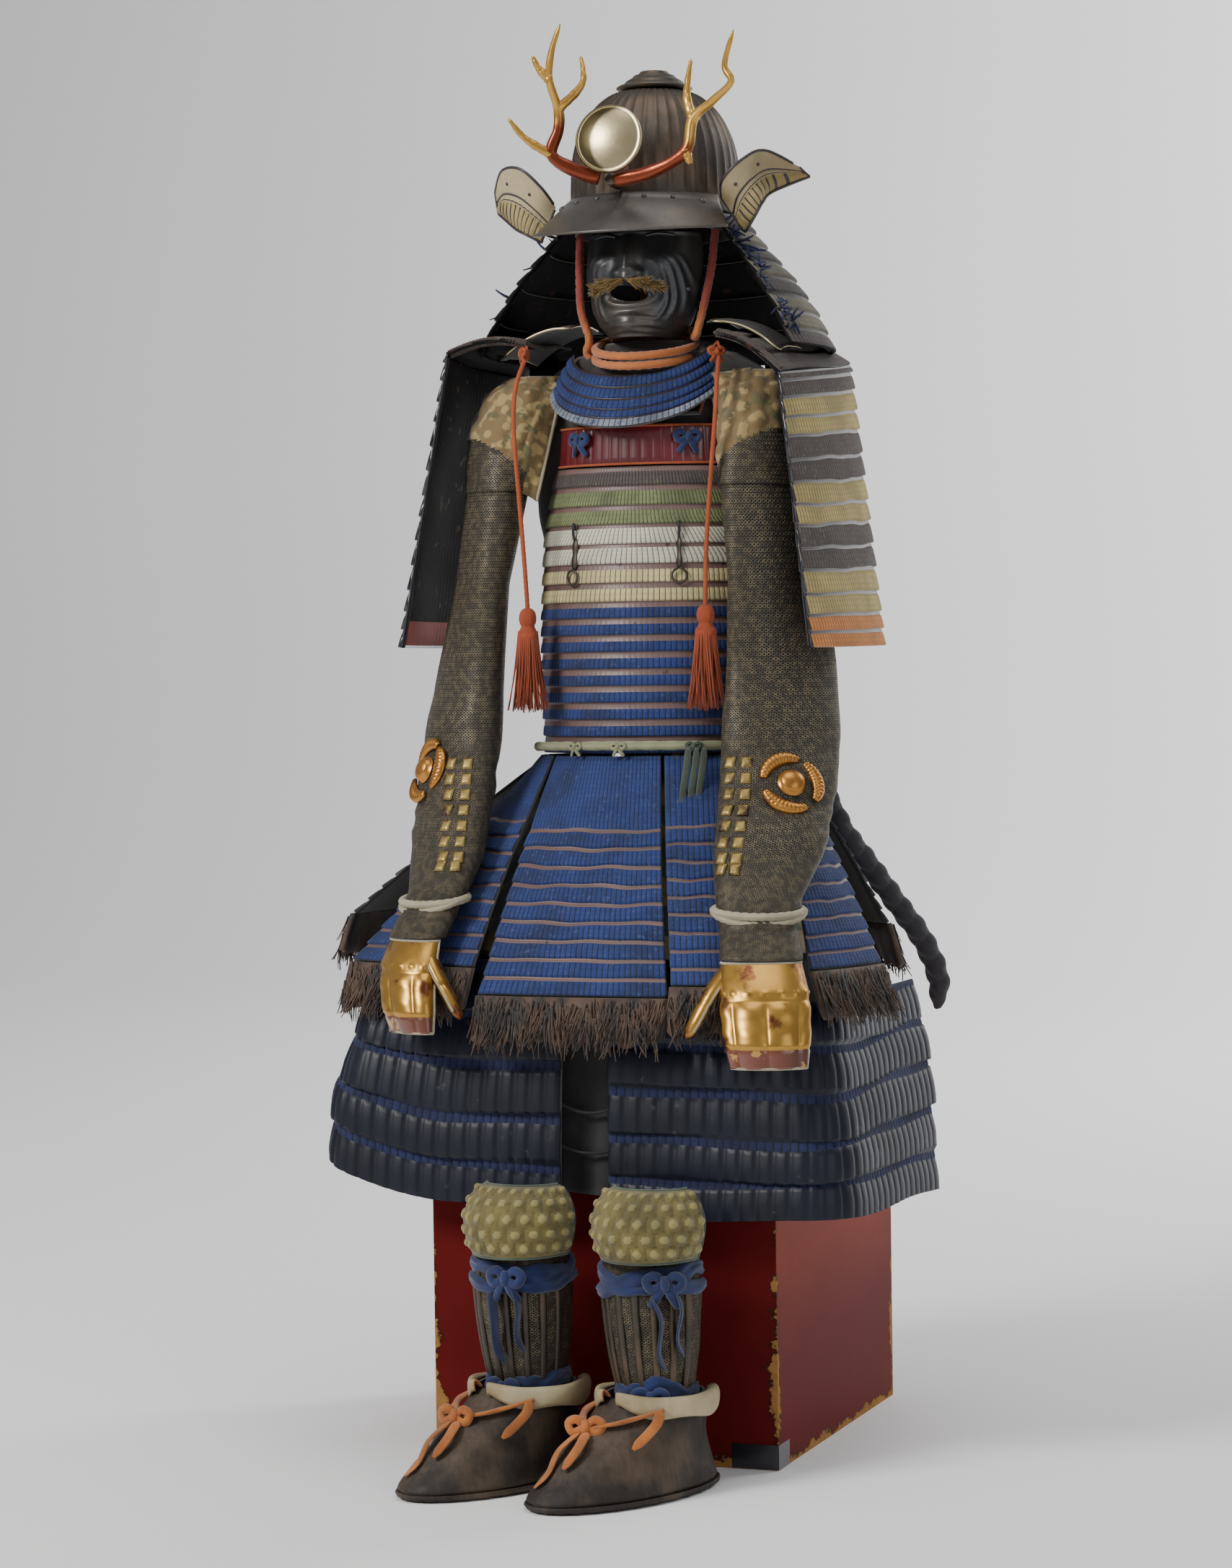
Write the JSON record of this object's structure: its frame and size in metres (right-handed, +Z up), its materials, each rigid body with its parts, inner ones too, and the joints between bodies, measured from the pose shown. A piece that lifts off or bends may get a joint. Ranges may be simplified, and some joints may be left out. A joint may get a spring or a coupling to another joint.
{
  "type": "seated samurai armour on a lacquered armour chest and a plain wooden stand",
  "caption": "Full samurai armour in laced and mail pieces, helmet with antler crest and iron half mask, seated empty on a red lacquered chest.",
  "frame": {"origin": "centre of the chest's underside, on the floor", "axes": "+Z up, the armour faces -Y, +X towards the wearer's left"},
  "size_m": [0.7143, 0.8497, 1.7121],
  "materials": {
    "red_lacquer": "glossy lacquer, worn at the edges",
    "stand_wood": "oiled",
    "dark_iron": "dark rusted iron",
    "mask_iron": "black-grey iron with a satin sheen",
    "black_lacquer": "glossy black lacquer on hide",
    "cream_lacing": "flat silk braid",
    "gilt": "gilded",
    "polished_brass": "polished",
    "blue_lacing": "flat silk braid over lacquered scales",
    "orange_cord": "twisted silk",
    "maroon_lacquer": "glossy lacquer on hide",
    "belt_cord": "twisted cotton",
    "dark_braid": "braided silk",
    "brown_fur": "long fur",
    "brocade": "woven brocade",
    "quilted_cloth": "quilted, with studs",
    "mail": "iron mail sewn on dark cloth",
    "shoe_leather": "dark hide with the hair on",
    "sode_lacing": "flat silk braid in cream, brown and orange rows"
  },
  "bodies": {
    "root": {"chest_body": "red_lacquer", "chest_lid": "red_lacquer", "armour_stand": "stand_wood", "helmet_bowl": "dark_iron", "helmet_finial": "dark_iron", "helmet_visor": "dark_iron", "neck_guard": "black_lacquer", "helmet_turnback_left": "cream_lacing", "helmet_turnback_right": "cream_lacing", "crest_antler_left": "gilt", "crest_antler_right": "gilt", "crest_disc": "polished_brass", "crest_holder": "dark_iron", "face_mask": "mask_iron", "throat_guard": "blue_lacing", "chin_cord": "orange_cord", "cuirass_top_plate": "maroon_lacquer", "cuirass_front": "blue_lacing", "cuirass_back": "blue_lacing", "shoulder_strap_left": "black_lacquer", "shoulder_strap_right": "black_lacquer", "shoulder_plate_left": "dark_iron", "shoulder_plate_right": "dark_iron", "waist_belt": "belt_cord", "sash_tail": "dark_braid", "tasset_front": "blue_lacing", "tasset_front_left": "blue_lacing", "tasset_side_left": "blue_lacing", "tasset_back_left": "blue_lacing", "tasset_back_right": "blue_lacing", "tasset_side_right": "blue_lacing", "tasset_front_right": "blue_lacing", "tasset_fur_front": "brown_fur", "tasset_fur_front_left": "brown_fur", "tasset_fur_side_left": "brown_fur", "tasset_fur_back_left": "brown_fur", "tasset_fur_back_right": "brown_fur", "tasset_fur_side_right": "brown_fur", "tasset_fur_front_right": "brown_fur", "thigh_apron": "brocade", "thigh_guard_left": "black_lacquer", "thigh_guard_right": "black_lacquer", "shin_guard_left": "mail", "shin_guard_right": "mail", "knee_pad_left": "quilted_cloth", "knee_pad_right": "quilted_cloth", "shoe_left": "shoe_leather", "shoe_right": "shoe_leather", "sleeve_left": "mail", "sleeve_right": "mail", "sleeve_shoulder_left": "brocade", "sleeve_shoulder_right": "brocade", "hand_guard_left": "gilt", "hand_guard_right": "gilt", "shoulder_guard_left": "sode_lacing", "shoulder_guard_right": "sode_lacing", "tassel_left": "orange_cord", "tassel_right": "orange_cord", "tassel_cord_left": "orange_cord", "tassel_cord_right": "orange_cord"}
  },
  "joints": []
}
